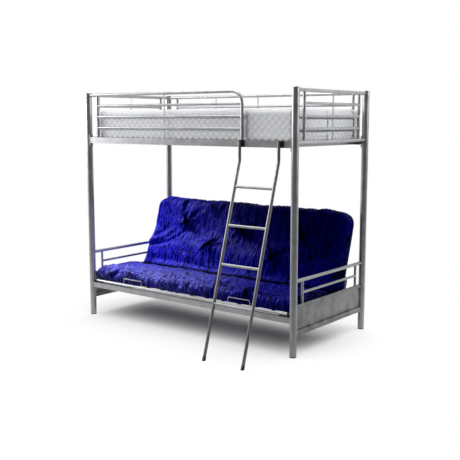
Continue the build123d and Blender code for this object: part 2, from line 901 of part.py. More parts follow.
def tuft_cut(x_share, rise_share):
    """A many-sided funnel sewn into the back's front: a wide dish with a deep throat."""
    along = rise_share * futon_back_length
    points = [
        (u * futon_back_length, v * futon_back_thickness) for u, v in futon_back_outline_shares
    ]
    low, high = [(a, b) for a, b in zip(points, points[1:]) if a[0] <= along <= b[0]][0]
    out = low[1] + (high[1] - low[1]) * (along - low[0]) / (high[0] - low[0])
    front = frame_tube_radius + soft_gap + out
    wide, throat, button = [
        RegularPolygon(radius, tuft_sides).face()
        for radius in (tuft_radius, tuft_throat_radius, tuft_button_radius)
    ]
    dish = loft([wide, Pos(0, 0, -tuft_dish) * throat], ruled=True)
    well = loft([Pos(0, 0, -tuft_dish) * throat, Pos(0, 0, -tuft_depth) * button], ruled=True)
    funnel = extrude(wide, tuft_depth) + dish + well
    facing = Plane(
        origin=(x_share * futon_half, *on_back(along, front)), z_dir=(0, -sin(lean), cos(lean))
    )
    return facing * funnel


futon_back_outline = [
    on_back(u_share * futon_back_length, frame_tube_radius + soft_gap + v_share * futon_back_thickness)
    for u_share, v_share in futon_back_outline_shares
]
fold_z = futon_low + futon_seat_outline_shares[2][1] * futon_seat_thickness + soft_gap
futon_back_anchor = on_back(futon_back_length / 2, frame_tube_radius + soft_gap)
back_cushion = padded_loft(
    futon_back_outline, futon_back_round, futon_back_anchor, futon_half, futon_station_shares
)
under_fold = Pos(0, hinge_y, fold_z / 2) * Box(bed_length, 2 * futon_back_length, fold_z)
tufts = [tuft_cut(*spot) for spot in tuft_spots_share]
keep("back_cushion", back_cushion - under_fold - tufts)


# Ladder, built as it stands hooked in its sockets

def ladder_lug():
    """A flat T behind the rail's top, which drops into the socket."""
    flange_y = -beam_face_y - socket_back_wall - slide_gap - lug_flange / 2
    web_end_y = ladder_y
    web = Pos(0, (flange_y + web_end_y) / 2) * Rectangle(lug_web, flange_y - web_end_y)
    flange = Pos(0, flange_y) * Rectangle(lug_flange_width, lug_flange)
    return extrude(Pos(0, 0, ladder_top_z - lug_length) * (web + flange), lug_length - ladder_cap_height)


def tip_end(x):
    """Where the rubber foot ends up the rail."""
    rise = ladder_tip_length * cos(radians(ladder_slant))
    return (x, ladder_foot_y + rise * tan(radians(ladder_slant)), rise)


def ladder_rail(x):
    """A bent tube between its rubber foot and its cap, with the lug welded on."""
    points = [tip_end(x), (x, ladder_y, ladder_bend_z), (x, ladder_y, ladder_top_z - ladder_cap_height)]
    tube = bent_bar(points, ladder_bend, Circle(ladder_tube_radius))
    return tube + Pos(x, 0, 0) * ladder_lug()


def ladder_foot(x):
    """A rubber foot cut flat on the floor."""
    slant = radians(ladder_slant)
    below = (x, ladder_foot_y - ladder_tip_radius * sin(slant), -ladder_tip_radius * cos(slant))
    floor_cut = Pos(x, ladder_foot_y, -bed_depth / 2) * Box(bed_depth, bed_depth, bed_depth)
    return rod(below, tip_end(x), ladder_tip_radius) - floor_cut


def ladder_cap(x):
    low = ladder_top_z - ladder_cap_height
    return rod((x, ladder_y, low), (x, ladder_y, ladder_top_z), ladder_tube_radius)


def ladder_socket(x):
    """A block on the beam's face with a slot for the lug and a groove that the rail lies in."""
    block = Pos(x, -beam_face_y - socket_depth / 2, upper_beam_low + upper_beam_height / 2) * Box(
        2 * socket_half_width, socket_depth, upper_beam_height
    )
    flange_y = -beam_face_y - socket_back_wall - slide_gap - lug_flange / 2
    slot = Pos(0, flange_y - socket_depth / 2) * Rectangle(lug_web + 2 * slide_gap, socket_depth)
    slot += Pos(0, flange_y) * Rectangle(lug_flange_width + 2 * slide_gap, lug_flange + 2 * slide_gap)
    slot_low = ladder_top_z - lug_length - slide_gap
    pocket = extrude(Pos(x, 0, slot_low) * slot, lug_length + overrun)
    groove = rod(
        (x, ladder_y, upper_beam_low - overrun), (x, ladder_y, upper_beam_top + overrun),
        ladder_tube_radius + slide_gap,
    )
    return block - pocket - groove


def rung(z):
    """A round step between the rails, coped to both."""
    y = ladder_y - (ladder_bend_z - z) * tan(radians(ladder_slant))
    bar = rod((ladder_left_x, y, z), (ladder_right_x, y, z), bar_radius)
    rails = [
        rod((x, ladder_foot_y, 0), (x, ladder_y, ladder_bend_z), ladder_tube_radius + seat_gap)
        for x in ladder_xs
    ]
    return bar - rails


ladder_xs = (ladder_left_x, ladder_right_x)
keep("ladder_left_rail", ladder_rail(ladder_left_x))
keep("ladder_right_rail", ladder_rail(ladder_right_x))
for number in range(rung_count):
    keep(f"ladder_rung_{number + 1}", rung(first_rung_z + number * rung_pitch))
keep("ladder_feet", *[ladder_foot(x) for x in ladder_xs])
keep("ladder_caps", *[ladder_cap(x) for x in ladder_xs])
keep("ladder_sockets", *[ladder_socket(x) for x in ladder_xs])
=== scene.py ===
import math

import bpy
import numpy as np
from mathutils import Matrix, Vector


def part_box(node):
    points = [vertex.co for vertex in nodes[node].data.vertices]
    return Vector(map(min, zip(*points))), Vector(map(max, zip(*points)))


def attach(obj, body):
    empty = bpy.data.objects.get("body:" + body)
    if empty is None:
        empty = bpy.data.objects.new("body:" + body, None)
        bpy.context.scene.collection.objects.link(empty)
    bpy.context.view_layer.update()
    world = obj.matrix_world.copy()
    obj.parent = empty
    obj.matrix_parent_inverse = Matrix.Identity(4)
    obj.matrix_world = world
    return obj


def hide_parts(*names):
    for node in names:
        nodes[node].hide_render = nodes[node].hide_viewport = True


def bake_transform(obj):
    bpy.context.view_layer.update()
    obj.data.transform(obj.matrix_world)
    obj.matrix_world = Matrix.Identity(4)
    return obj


# A metal bunk bed over a futon, dressed over its CAD frame: +X to the ladder's end, the front faces -Y.
# Lengths are in metres, and a name that ends in Mm is in millimetres.

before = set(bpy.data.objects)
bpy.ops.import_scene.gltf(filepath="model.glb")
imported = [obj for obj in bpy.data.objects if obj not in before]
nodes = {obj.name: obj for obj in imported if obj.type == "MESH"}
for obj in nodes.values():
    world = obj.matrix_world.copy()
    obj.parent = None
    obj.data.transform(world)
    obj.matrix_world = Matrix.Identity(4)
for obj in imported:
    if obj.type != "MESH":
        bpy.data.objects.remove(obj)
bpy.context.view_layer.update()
mm = 0.001

# Places that the pieces share, from the frame
bedMiddleY = (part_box("front_left_lower_post")[0].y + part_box("rear_left_lower_post")[1].y) / 2
print("stage: frame loaded")


def addNode(tree, kind, inputs=(), **settings):
    node = tree.nodes.new(kind)
    for name, value in settings.items():
        setattr(node, name, value)
    for name, value in dict(inputs).items():
        socket = node.inputs[name]
        if isinstance(value, bpy.types.NodeSocket):
            tree.links.new(value, socket)
        else:
            socket.default_value = value
    return node


def linear(hexColour):
    # sRGB to linear: c / 12.92 up to 0.04045, and ((c + 0.055) / 1.055) ^ 2.4 above
    channels = [int(hexColour[place:place + 2], 16) / 255 for place in (1, 3, 5)]
    return [c / 12.92 if c <= 0.04045 else ((c + 0.055) / 1.055) ** 2.4 for c in channels] + [1]


def newMaterial(name):
    # An empty material and its node tree
    material = bpy.data.materials.new(name)
    material.use_nodes = True
    tree = material.node_tree
    tree.nodes.clear()
    return material, tree


def finishMaterial(tree, shader):
    output = tree.nodes.new("ShaderNodeOutputMaterial")
    tree.links.new(shader.outputs[0], output.inputs["Surface"])


def finishPrincipled(material, inputs):
    tree = material.node_tree
    finishMaterial(tree, addNode(tree, "ShaderNodeBsdfPrincipled", inputs))
    return material


def objectPlace(tree):
    return tree.nodes.new("ShaderNodeTexCoord").outputs["Object"]


def attribute(tree, name, output="Fac"):
    return addNode(tree, "ShaderNodeAttribute", attribute_name=name).outputs[output]


def compute(tree, operation, *values, clamp=False):
    # One sum on numbers or sockets
    inputs = dict(enumerate(values))
    return addNode(tree, "ShaderNodeMath", inputs, operation=operation, use_clamp=clamp).outputs[0]


def cloudy(tree, coordinate, size, detail=3):
    # A smooth noise whose patches are about size metres across, from 0 to 1
    inputs = {"Vector": coordinate, "Scale": 1 / size, "Detail": detail}
    return addNode(tree, "ShaderNodeTexNoise", inputs).outputs["Fac"]


def between(tree, factor, low, high, start=0, end=1, **settings):
    # Maps a factor that runs from start to end to a value from low to high
    inputs = {"Value": factor, "From Min": start, "From Max": end, "To Min": low, "To Max": high}
    return addNode(tree, "ShaderNodeMapRange", inputs, **settings).outputs["Result"]


def colourBetween(tree, factor, low, high):
    low, high = (linear(colour) if isinstance(colour, str) else colour for colour in (low, high))
    return addNode(tree, "ShaderNodeMix", {0: factor, 6: low, 7: high}, data_type="RGBA").outputs[2]


def bumped(tree, height, strength, distance, **under):
    # A bump whose full height is distance metres, over another one where Normal is given
    inputs = {"Height": height, "Strength": strength, "Distance": distance}
    return addNode(tree, "ShaderNodeBump", {**inputs, **under}).outputs["Normal"]


def paintedMetal(name, pale, deep, roughness, flakeMm, metallic=0.9, uneven=0.05):
    # Powder-coated steel with fine metal flake: clouds about 70 mm across in its colour and gloss, and
    # flakes a fraction of a millimetre across in its bump
    material, tree = newMaterial(name)
    place = objectPlace(tree)
    clouds = cloudy(tree, place, 0.07, 5)
    return finishPrincipled(material, {
        "Base Color": colourBetween(tree, clouds, deep, pale),
        "Metallic": metallic,
        "Roughness": between(tree, clouds, roughness - uneven, roughness + uneven),
        "Normal": bumped(tree, cloudy(tree, place, flakeMm * mm, 1), 0.12, 0.0002),
    })


def mouldedPlastic(name, pale, deep, roughness, grainMm, tread=None):
    # Moulded plastic or rubber with a fine eroded grain. A tread is the colour of its lowest 9 mm.
    material, tree = newMaterial(name)
    place = objectPlace(tree)
    grain = cloudy(tree, place, grainMm * mm, 2)
    colour = colourBetween(tree, cloudy(tree, place, 0.02), deep, pale)
    if tread:
        height = addNode(tree, "ShaderNodeSeparateXYZ", {"Vector": place}).outputs["Z"]
        colour = colourBetween(tree, between(tree, height, 0, 1, 0.010, 0.008), colour, tread)
    return finishPrincipled(material, {
        "Base Color": colour,
        "Roughness": between(tree, grain, roughness - 0.08, roughness + 0.08),
        "Normal": bumped(tree, grain, 0.3, 0.0002),
    })


def wovenCotton(name):
    # Dyed cotton cover. The mesh's own "cloth" attribute holds the place along and around the futon in
    # metres; a second attribute is painted shade, 1 in a deep fold, and a third is painted sheen, strongest
    # on the seat towards its left end. Fine puckers 9 mm apart run around the futon over threads 0.6 mm
    # apart.
    threadPitch, puckerPitch, linePitch = 0.0006, 0.009, 0.024
    wanderShare = 0.035
    material, tree = newMaterial(name)
    cloth = attribute(tree, "cloth", "Vector")
    paintedSheen = attribute(tree, "paintedSheen")
    wander = addNode(tree, "ShaderNodeTexNoise", {"Vector": cloth, "Scale": 1 / 0.09, "Detail": 2})
    wandered = addNode(tree, "ShaderNodeMix", {0: wanderShare, 4: cloth, 5: wander.outputs["Color"]},
                       data_type="VECTOR").outputs[1]

    def drawnOut(share):
        # The place on the cloth, for a pattern that is 1 / share times as long as wide
        return addNode(tree, "ShaderNodeMapping", {"Vector": wandered, "Scale": (1, share, 1)}).outputs[0]

    pucker = cloudy(tree, drawnOut(0.16), puckerPitch, 2)
    puckers = bumped(tree, pucker, 1, 0.026)
    threads = addNode(tree, "ShaderNodeTexWave", {
        "Vector": cloth, "Scale": 1 / threadPitch / 20, "Distortion": 0.5,
    }, wave_type="BANDS", bands_direction="DIAGONAL").outputs["Fac"]

    # Painted shade: long thin lines between the puckers, where a noise crosses its middle, and the low
    # parts of each pucker, both fainter where the painted sheen is strong
    pinch = cloudy(tree, drawnOut(0.09), linePitch, 0)
    fromLine = compute(tree, "ABSOLUTE", compute(tree, "SUBTRACT", pinch, 0.5))
    line = between(tree, fromLine, 0.8, 0, 0, 0.06, interpolation_type="SMOOTHSTEP")
    line = compute(tree, "MULTIPLY", line, between(tree, paintedSheen, 1.1, 0.25))
    hollow = between(tree, pucker, between(tree, paintedSheen, 0.44, 0.14), 0)
    paintedShade = compute(tree, "ADD", compute(tree, "ADD", hollow, line), attribute(tree, "paintedCreaseShade"), clamp=True)
    faded = colourBetween(tree, cloudy(tree, cloth, 0.05), "#0403a6", "#0806bc")
    # The painted shade turns the blue nearly black and takes its gloss and sheen away; the painted sheen
    # sets the sheen, the gloss and the roughness
    return finishPrincipled(material, {
        "Base Color": colourBetween(tree, paintedShade, faded, "#01001c"),
        "Roughness": between(tree, paintedSheen, 0.48, 0.64),
        "Specular IOR Level": compute(tree, "MULTIPLY", between(tree, paintedShade, 0.7, 0.03), paintedSheen),
        "Specular Tint": linear("#c4c4ff"),
        "Sheen Weight": compute(tree, "MULTIPLY", between(tree, paintedShade, 1, 0), paintedSheen),
        "Sheen Roughness": 0.25,
        "Sheen Tint": linear("#d2d2ff"),
        "Normal": bumped(tree, threads, 0.15, 0.0002, Normal=puckers),
    })


def quiltedTicking(name):
    # Pale mattress ticking. One attribute of the mesh is 1 along a sewn line of the quilting, and it also
    # holds painted shade that deepens into the hollows between the puffs.
    material, tree = newMaterial(name)
    place = objectPlace(tree)
    cover = colourBetween(tree, cloudy(tree, place, 0.03), "#e2e4e7", "#eeeff1")
    return finishPrincipled(material, {
        "Base Color": colourBetween(tree, attribute(tree, "seamAndShade"), cover, "#4a4c51"),
        "Roughness": 0.75,
        "Sheen Weight": 0.15,
        "Normal": bumped(tree, cloudy(tree, place, 0.0012, 2), 0.3, 0.0004),
    })


silverPaint = paintedMetal("silverPaint", "#cacbcd", "#98999b", 0.34, 0.35, uneven=0.1)
# The end panels' clouds run from pale grey to near black: painted reflection, the mottle of a glossy panel
endPanelPaintAndReflection = paintedMetal("endPanelPaintAndReflection", "#bdbec0", "#161719", 0.34, 0.35, uneven=0.2)
ladderPaint = paintedMetal("ladderPaint", "#a8a7a7", "#818080", 0.34, 0.35, uneven=0.08)
zincPlating = paintedMetal("zincPlating", "#b9b7ae", "#8f8d86", 0.3, 1.5, 1)
blackPlastic = mouldedPlastic("blackPlastic", "#1b1b1d", "#101012", 0.45, 0.8)
shoeRubber = mouldedPlastic("shoeRubber", "#78787a", "#5c5c5d", 0.58, 1.2, tread="#151517")
whiteNylon = mouldedPlastic("whiteNylon", "#d9d8d2", "#c9c8c1", 0.45, 1)
futonCotton = wovenCotton("futonCotton")
mattressTicking = quiltedTicking("mattressTicking")

bySlot = {
    "silver_paint": silverPaint,
    "zinc_plating": zincPlating,
    "black_plastic": blackPlastic,
    "black_rubber": shoeRubber,
    "roller_nylon": whiteNylon,
    "upper_mattress_cover": mattressTicking,
    "futon_cover": futonCotton,
}
# Nodes with another finish than their slot's
byNode = {
    "post_caps": silverPaint,
    "left_end_panel": endPanelPaintAndReflection,
    "right_end_panel": endPanelPaintAndReflection,
    "ladder_left_rail": ladderPaint,
    "ladder_right_rail": ladderPaint,
}
for name, piece in nodes.items():
    for materialSlot in piece.material_slots:
        material = byNode.get(name) or bySlot[materialSlot.material.name.split(".")[0]]
        materialSlot.material = material
print("stage: materials")


# Surfaces built on a grid of points

def noise(u, v, seed):
    # Gradient noise from about -1 to 1: slopes at the corners of unit squares, blended by
    # 6 t^5 - 15 t^4 + 10 t^3
    turns = np.random.RandomState(seed).rand(256, 256) * 2 * np.pi
    cellU, cellV = np.floor(u).astype(int), np.floor(v).astype(int)
    shareU, shareV = u - cellU, v - cellV
    fadeU, fadeV = (t ** 3 * (t * (t * 6 - 15) + 10) for t in (shareU, shareV))

    def corner(stepU, stepV):
        turn = turns[(cellU + stepU) % 256, (cellV + stepV) % 256]
        return np.cos(turn) * (shareU - stepU) + np.sin(turn) * (shareV - stepV)

    low = corner(0, 0) * (1 - fadeU) + corner(1, 0) * fadeU
    high = corner(0, 1) * (1 - fadeU) + corner(1, 1) * fadeU
    return (low * (1 - fadeV) + high * fadeV) * 1.5


def smoothStep(values, low, high):
    # 3 t^2 - 2 t^3 between low and high
    t = np.clip((values - low) / (high - low), 0, 1)
    return t * t * (3 - 2 * t)


def closedCurve(points, perSpan=40):
    # A closed Catmull-Rom curve through the points
    p1 = np.array(points, float)
    p0, p2, p3 = np.roll(p1, 1, 0), np.roll(p1, -1, 0), np.roll(p1, -2, 0)
    t = np.linspace(0, 1, perSpan, endpoint=False)[None, :, None]
    p0, p1, p2, p3 = (p[:, None, :] for p in (p0, p1, p2, p3))
    curve = 0.5 * (2 * p1 + (p2 - p0) * t + (2 * p0 - 5 * p1 + 4 * p2 - p3) * t ** 2
                   + (3 * p1 - p0 - 3 * p2 + p3) * t ** 3)
    return curve.reshape(-1, 2)


def spaced(curve, stepAt):
    # Points round a closed curve, stepAt(points) apart, with the arc length at each
    ring = np.vstack([curve, curve[:1]])
    lengths = np.hypot(*np.diff(ring, axis=0).T)
    arc = np.concatenate([[0], np.cumsum(lengths)])
    count = np.concatenate([[0], np.cumsum(lengths / stepAt(curve))])
    total = int(round(count[-1]))
    even = np.linspace(0, count[-1], total, endpoint=False)
    places = np.interp(even, count, arc)
    points = np.stack([np.interp(places, arc, ring[:, axis]) for axis in (0, 1)], axis=1)
    return points, places


def nearestOnLine(points, line):
    # The nearest point of a chain of straight runs to each point
    starts, runs = line[:-1], np.diff(line, axis=0)
    offset = points[:, None, :] - starts[None]
    t = np.clip((offset * runs).sum(-1) / (runs * runs).sum(-1), 0, 1)
    candidates = starts[None] + t[..., None] * runs[None]
    distance = np.linalg.norm(points[:, None, :] - candidates, axis=-1)
    return candidates[np.arange(len(points)), distance.argmin(1)]


def padGrid(profile, spine, half, edge, bulge, step, capRings):
    # Rows of a stuffed pad along X: a flat end that closes on the spine, a rounded edge, then the length.
    # Each row is the profile drawn towards the spine.
    anchors = nearestOnLine(profile, np.array(spine, float))
    outward = profile - anchors
    reach = np.linalg.norm(outward, axis=1, keepdims=True)
    edgeAngles = np.linspace(0, np.pi / 2, max(4, int(edge * 1.6 / step)))
    capShares = np.linspace(0, 1, capRings, endpoint=False)
    rows = [(half + bulge * (1 - share ** 2), edge, share) for share in capShares]
    rows += [(half - edge + edge * math.cos(a), edge * (1 - math.sin(a)), 1) for a in edgeAngles]
    middle = np.linspace(half - edge, 0, max(2, int((half - edge) / step)))[1:]
    rows += [(x, 0, 1) for x in middle]
    rows += [(-x, inset, share) for x, inset, share in rows[-2::-1]]
    grid = []
    for x, inset, share in rows:
        ring = anchors + outward * np.clip(1 - inset / np.maximum(reach, 1), 0.02, 1) * share
        grid.append(np.column_stack([np.full(len(ring), -x), ring]))
    return np.array(grid)


def gridNormals(grid):
    along = np.gradient(grid, axis=0)
    around = np.roll(grid, -1, 1) - np.roll(grid, 1, 1)
    normals = np.cross(around, along)
    return normals / np.maximum(np.linalg.norm(normals, axis=-1, keepdims=True), 1e-9)


def gridPiece(name, grid, material, attributes):
    # A mesh of four-sided faces over a grid of points in millimetres, closed round its second axis
    rows, columns = grid.shape[:2]
    index = np.arange(rows * columns).reshape(rows, columns)
    beside = np.roll(index, -1, 1)
    faces = np.stack([index[:-1], index[1:], beside[1:], beside[:-1]], axis=-1).reshape(-1, 4)
    mesh = bpy.data.meshes.new(name)
    mesh.from_pydata((grid.reshape(-1, 3) * mm).tolist(), [], faces.tolist())
    for attributeName, values in attributes.items():
        kind, key = ("FLOAT", "value") if values.ndim == 2 else ("FLOAT_VECTOR", "vector")
        layer = mesh.attributes.new(attributeName, kind, "POINT")
        layer.data.foreach_set(key, values.astype(np.float32).ravel())
    mesh.materials.append(material)
    mesh.polygons.foreach_set("use_smooth", np.ones(len(mesh.polygons), bool))
    mesh.update()
    piece = bpy.data.objects.new(name, mesh)
    bpy.context.scene.collection.objects.link(piece)
    return piece


# The futon: one mattress, bent at the hinge. Its section is measured from the bed's middle and the
# floor, from the underside of its front edge up over the seat, up the back, over the top and down again.
# A tuft is its x, its height on the back's face and its depth. A fold is x and height at its start and at
# its end, its width and its rise. On the seat the distance round from the front edge stands for the height.
# All were chosen from the photograph.

futon = {
    "sectionMm": [
        (-456, 297), (-460, 318), (-459, 345), (-448, 374), (-420, 391), (-370, 396), (-300, 392),
        (-200, 386), (-100, 375), (-20, 364), (35, 352), (60, 350), (85, 372), (112, 415), (128, 470),
        (150, 530), (190, 590), (232, 650), (258, 740), (280, 830), (300, 875), (335, 897), (378, 898),
        (412, 878), (424, 850), (415, 795), (385, 685), (330, 505), (290, 372), (275, 330), (240, 300),
        (100, 297), (-100, 297), (-300, 297), (-440, 297),
    ],
    "spineMm": [(-400, 342), (-100, 334), (150, 338), (230, 420), (290, 600), (350, 800)],
    "frameFootMm": (275, 283),
    "frameSlope": 0.3057,
    "halfMm": 937,
    "edgeMm": 26,
    "bulgeMm": 6,
    "shownStepMm": 12,
    "hiddenStepMm": 26,
    "capRings": 9,
    "frontMm": (-458, 330),
    "foldMm": (60, 350),
    "topMm": (378, 898),
    "widestMm": 942.5,
    "leftCornerMm": 78,
    "rightCornerMm": 112,
    "frontLimitMm": -459,
    "frontGiveMm": 22,
    "frontSoftnessMm": 3,
    "foldDepthMm": 14,
    "foldWidthMm": 22,
    "seatFoldGain": 1.45,
    "backPuckerMm": 10,
    "seatPuckerMm": 11,
    "puckerSinkMm": 5,
    "darkFoldMm": 18,
    "darkTuftMm": 22,
    "tuftsMm": [(-555, 718, 46), (-259, 564, 25), (23, 701, 46), (377, 520, 30), (600, 690, 38)],
    "tuftReachMm": 24,
    "spokeMm": 5,
    "spokeReachMm": 38,
    "pillowDepthMm": 14,
    "pillowReachMm": 130,
    "foldsOfBackMm": [
        (-565, 722, -625, 815, 11, -34), (-625, 815, -670, 890, 13, -24), (-560, 722, -585, 800, 9, -16),
        (-560, 712, -650, 690, 10, -22), (-550, 708, -600, 640, 9, -14), (-540, 705, -470, 640, 9, -16),
        (-260, 566, -225, 596, 10, -7), (-265, 560, -345, 520, 10, -12), (-255, 556, -220, 490, 9, -12),
        (10, 700, -70, 730, 20, -22), (30, 705, 60, 640, 18, -24), (40, 700, 120, 610, 11, -18),
        (377, 520, 300, 600, 12, -22), (380, 525, 470, 600, 13, -20), (385, 510, 440, 440, 12, -14),
        (600, 690, 560, 770, 14, -20), (600, 685, 660, 610, 14, -18), (-545, 745, -500, 830, 13, -8),
        (-540, 735, -470, 800, 18, 8), (-551, 708, -640, 672, 16, -13), (-911, 500, -730, 548, 17, 15),
        (-740, 545, -577, 627, 14, 14), (-894, 579, -801, 645, 20, 16), (-926, 538, -798, 575, 16, -11),
        (-800, 575, -700, 645, 18, -12), (-537, 703, -456, 661, 12, 7), (-456, 661, -383, 611, 12, 7),
        (-275, 561, -340, 520, 16, -9), (-250, 575, -187, 628, 16, -5), (-382, 884, -289, 834, 26, -15),
        (-237, 774, -205, 895, 20, 10), (-867, 398, -520, 394, 28, 11), (-520, 392, -130, 370, 28, 11),
        (23, 690, 120, 640, 18, -9), (10, 720, -60, 820, 18, -8), (-10, 690, -90, 610, 18, -7),
        (330, 560, 460, 590, 24, 12), (377, 520, 480, 560, 18, -8), (600, 690, 700, 780, 20, -10),
        (600, 680, 700, 590, 20, -9), (590, 700, 540, 820, 18, -9), (860, 820, 780, 500, 40, 10),
        (820, 860, 760, 640, 22, -10),
    ],
    "foldsOfSeatMm": [
        (-749, 5, -701, 77, 20, 13), (-701, 77, -703, 165, 22, 13), (-818, 8, -736, 59, 24, -13),
        (-620, 90, -500, 15, 26, -13), (-540, 110, -420, 30, 24, 11), (-452, 125, -300, -5, 28, 11),
        (-840, 150, -760, 240, 30, -9), (-660, 250, -520, 160, 30, 9), (-300, 250, -200, 110, 30, -9),
        (-96, -20, -35, 50, 16, 9), (24, 0, 67, 85, 16, 9), (-160, 200, 0, 130, 30, 10),
        (300, 30, 215, 190, 36, -18), (334, 116, 287, 258, 30, 13), (380, 60, 520, 110, 36, 12),
        (560, 20, 600, 120, 40, -16), (640, 90, 860, 110, 40, 11), (440, 240, 700, 200, 30, -8),
        (340, 200, 820, 200, 105, 13), (-880, 60, -640, 40, 30, 9), (-420, 60, -150, 90, 34, 10),
        (-230, 330, -90, 190, 26, -9), (-60, 300, 60, 150, 26, 9), (-560, 330, -440, 200, 28, 9),
    ],
    "cloth": {
        "quality": 4,
        "mass": 0.15,
        "tension_stiffness": 25,
        "compression_stiffness": 25,
        "shear_stiffness": 12,
        "bending_stiffness": 0.05,
        "vertex_group_mass": "pinned",
        "pin_stiffness": 2,
        "shrink_min": -0.07,
        "use_pressure": True,
        "uniform_pressure_force": 4,
    },
    "clothFrames": 20,
    "clothLimitMm": 26,
}


def strokeField(along, around, stroke):
    # A long dent or ridge from one place of the cloth to another, fading to its ends
    startX, startS, endX, endS, width, height = stroke
    run = np.array([endX - startX, endS - startS])
    t = ((along - startX) * run[0] + (around - startS) * run[1]) / (run @ run)
    clipped = np.clip(t, 0, 1)
    distance = np.hypot(along - startX - clipped * run[0], around - startS - clipped * run[1])
    taper = np.sin(np.pi * np.clip(0.08 + 0.84 * clipped, 0, 1)) ** 0.6
    return height * taper * np.exp(-(distance / width) ** 2)


def behindFace(points, setBack):
    # True where a point of the section lies near or behind the plane of the back frame, which leans
    foot = futon["frameFootMm"]
    return points[:, 0] - foot[0] > (points[:, 1] - foot[1]) * futon["frameSlope"] - setBack


def futonStep(points):
    # Fine on the seat's front and top and on the back's face and top, coarse where nothing shows
    hidden = ((points[:, 1] < 305) | behindFace(points, 35)) & (points[:, 1] < 860)
    return np.where(hidden, futon["hiddenStepMm"], futon["shownStepMm"])


def doubled(grid, closed):
    # Twice the rows, or columns if closed, with cubic midpoints: (-a + 9 b + 9 c - d) / 16
    if closed:
        before, after, second = (np.roll(grid, shift, 1) for shift in (1, -1, -2))
        middle = (9 * (grid + after) - before - second) / 16
        return np.stack([grid, middle], axis=2).reshape(grid.shape[0], -1, *grid.shape[2:])
    padded = np.concatenate([grid[:1], grid, grid[-1:]])
    middle = (9 * (padded[1:-2] + padded[2:-1]) - padded[:-3] - padded[3:]) / 16
    rows = np.empty((2 * len(grid) - 1, *grid.shape[1:]))
    rows[::2] = grid
    rows[1::2] = middle
    return rows


def crumpled(grid, pinned):
    # Blender's cloth on a copy of the grid: the fabric grows a little and the filling presses it out, so
    # that it buckles between the pinned places. Returns how far each point moved.
    piece = gridPiece("futonTrial", grid, futonCotton, {})
    group = piece.vertex_groups.new(name="pinned")
    levels = np.round(pinned.ravel() * 10).astype(int)
    for level in range(1, 11):
        group.add(np.flatnonzero(levels == level).tolist(), level / 10, "REPLACE")
    modifier = piece.modifiers.new("cloth", "CLOTH")
    for name, value in futon["cloth"].items():
        setattr(modifier.settings, name, value)
    modifier.settings.effector_weights.gravity = 0
    modifier.collision_settings.use_collision = False
    scene = bpy.context.scene
    for step in range(1, futon["clothFrames"] + 1):
        scene.frame_set(step)
    shape = piece.evaluated_get(bpy.context.evaluated_depsgraph_get()).to_mesh()
    moved = np.empty(len(shape.vertices) * 3)
    shape.vertices.foreach_get("co", moved)
    moved = moved.reshape(grid.shape) / mm - grid
    mesh = piece.data
    bpy.data.objects.remove(piece)
    bpy.data.meshes.remove(mesh)
    scene.frame_set(1)
    length = np.linalg.norm(moved, axis=-1, keepdims=True)
    return moved * np.minimum(1, futon["clothLimitMm"] / np.maximum(length, 0.001))


def futonPlan():
    # The section with the arc length at each point, and on the cloth, as distances along the futon and
    # around it, its front edge, fold line and top, its tufts and its folds
    profile, arc = spaced(closedCurve(futon["sectionMm"]), futonStep)
    plan = {"profile": profile, "arc": arc}
    for mark in ("front", "fold", "top"):
        plan[mark] = arc[np.argmin(np.linalg.norm(profile - futon[mark + "Mm"], axis=1))]
    face = (arc > plan["fold"]) & (arc < plan["top"] - 60)

    def faceArc(height):
        return float(np.interp(height, profile[face, 1], arc[face]))

    def seatArc(distance):
        return plan["front"] + distance

    plan["tufts"] = [(x, faceArc(z), depth) for x, z, depth in futon["tuftsMm"]]
    for side, arcOf in (("Back", faceArc), ("Seat", seatArc)):
        plan["foldsOf" + side] = [
            (startX, arcOf(start), endX, arcOf(end), width, rise)
            for startX, start, endX, end, width, rise in futon["foldsOf" + side + "Mm"]
        ]
    return plan


def seatAndBack(around, plan):
    # How far a place belongs to the seat's front and top, and to the back's face and top
    front, fold, top = plan["front"], plan["fold"], plan["top"]
    seat = smoothStep(around, front - 40, front + 20) * (1 - smoothStep(around, fold - 50, fold))
    back = smoothStep(around, fold, fold + 60) * (1 - smoothStep(around, top + 60, top + 140))
    return seat, back


def endCalm(along):
    # Relief is weaker on the flat ends
    return np.where(np.abs(along) > futon["halfMm"] - 4, 0.35, 1)


def mainRelief(along, around, plan):
    # Heights of the tufts, the main folds and the slow waves, and how firmly the cloth is pinned there
    seatShare, backShare = seatAndBack(around, plan)
    shownShare = np.maximum(seatShare, backShare)
    height = np.zeros(along.shape)
    pinned = 1 - smoothStep(shownShare, 0.05, 0.6)

    # Each sewn tuft is a sharp pinch in a wide hollow, with folds that run out from it
    spokeReach = futon["spokeReachMm"]
    for number, (tuftX, tuftS, depth) in enumerate(plan["tufts"]):
        offsetX, offsetS = along - tuftX, around - tuftS
        distance = np.hypot(offsetX, offsetS)
        wander = 1.6 * noise(along / 60, around / 60, 40 + number)
        spokes = np.cos((7 + number % 3) * np.arctan2(offsetS, offsetX) + wander + number)
        height -= futon["pillowDepthMm"] * np.exp(-(distance / futon["pillowReachMm"]) ** 2)
        height -= depth * np.exp(-distance / futon["tuftReachMm"])
        height += futon["spokeMm"] * spokes * (distance / spokeReach) * np.exp(1 - distance / spokeReach)
        pinned = np.maximum(pinned, np.exp(-(distance / 16) ** 4))
    for stroke in plan["foldsOfBack"]:
        height += strokeField(along, around, stroke)
    for stroke in plan["foldsOfSeat"]:
        height += futon["seatFoldGain"] * strokeField(along, around, stroke) * seatShare
    height -= futon["foldDepthMm"] * np.exp(-((around - plan["fold"]) / futon["foldWidthMm"]) ** 2)
    height += 9 * noise(along / 260, around / 240, 3) + 6 * noise(along / 95, around / 130, 4)
    height *= shownShare * endCalm(along)
    return height, pinned, shownShare


